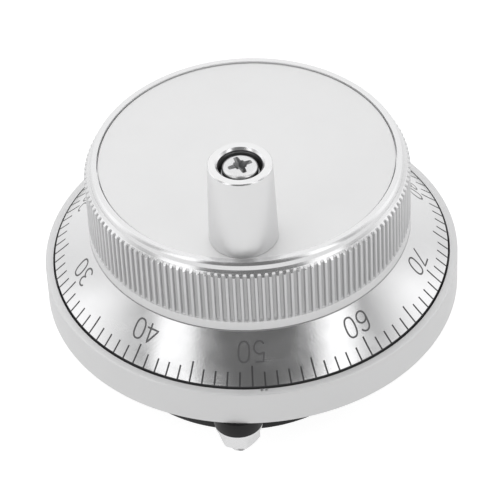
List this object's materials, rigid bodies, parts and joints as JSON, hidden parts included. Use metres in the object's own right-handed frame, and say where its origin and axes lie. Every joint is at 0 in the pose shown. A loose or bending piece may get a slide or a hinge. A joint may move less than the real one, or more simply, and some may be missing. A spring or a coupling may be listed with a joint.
{
  "type": "pulse generator handwheel",
  "caption": "Panel-mounted pulse generator handwheel: knurled knob with crank handle and graduated dial turning in a fixed bezel, rear housing with studs and terminals.",
  "frame": {"origin": "on the wheel's axis, in the plane of the panel's front face, which is the bezel's rear face", "axes": "+Z along the wheel's axis, out of the panel towards the user; -Y is the side of the dial where the crank handle and the index pointer are at rest"},
  "size_m": [0.08, 0.0805, 0.0646],
  "materials": {
    "bezel": "satin anodised, turned",
    "dial": "satin turned face with filled marks",
    "knob": "turned and knurled, bright edges",
    "cover": "smooth pale silver grey, matte",
    "sleeve": "matte anodised",
    "screw": "bright nickel plate",
    "steel": "ground or zinc plated steel",
    "spring_steel": "blackened spring steel",
    "black_plastic": "moulded, fine grained",
    "brass": "turned brass",
    "board": "glass-fibre board with green lacquer",
    "chip": "black resin",
    "lens": "clear resin",
    "mark": "black filling"
  },
  "bodies": {
    "base": {"bezel_ring": "bezel", "index_pointer": "screw", "mounting_studs": "screw", "stud_spacers": "black_plastic", "flat_washers": "screw", "stud_nuts": "screw", "bearing_carrier": "bezel", "carrier_screws": "steel", "bearing_outer_rings": "steel", "rear_housing": "black_plastic", "click_stator": "steel", "click_magnets": "steel", "sensor_fork": "black_plastic", "light_emitter": "lens", "light_detector": "chip", "circuit_board": "board", "circuit_chips": "chip", "rear_cover": "black_plastic", "cover_screws": "steel", "terminal_barriers": "black_plastic", "terminal_posts": "brass", "terminal_washers": "steel", "terminal_screws": "screw"},
    "wheel": {"spindle": "steel", "bearing_inner_rings": "steel", "retaining_ring": "spring_steel", "click_rotor": "steel", "disc_hub": "bezel", "code_disc": "steel", "disc_washer": "steel", "disc_screw": "steel", "knob": "knob", "dial": "dial", "dial_screws": "steel", "knob_washer": "steel", "knob_screw": "steel", "cover_disc": "cover", "handle_axle": "screw", "handle_washer": "steel"},
    "ball_train": {"bearing_balls": "screw", "bearing_cages": "brass"},
    "crank": {"handle_sleeve": "sleeve", "handle_bush": "black_plastic"}
  },
  "joints": [
    {"name": "wheel_spin", "type": "hinge", "parent": "base", "child": "wheel", "pos_m": [0, 0, 0], "axis": [0, 0, 1], "continuous": true},
    {"name": "ball_train_roll", "type": "hinge", "parent": "base", "child": "ball_train", "pos_m": [0, 0, 0], "axis": [0, 0, 1], "continuous": true},
    {"name": "crank_handle_spin", "type": "hinge", "parent": "wheel", "child": "crank", "pos_m": [-0.00124, -0.02156, 0.031], "axis": [0, 0, 1], "continuous": true}
  ],
  "couplings": [
    {"joint": "ball_train_roll", "follows": "wheel_spin", "ratio": 0.4}
  ]
}
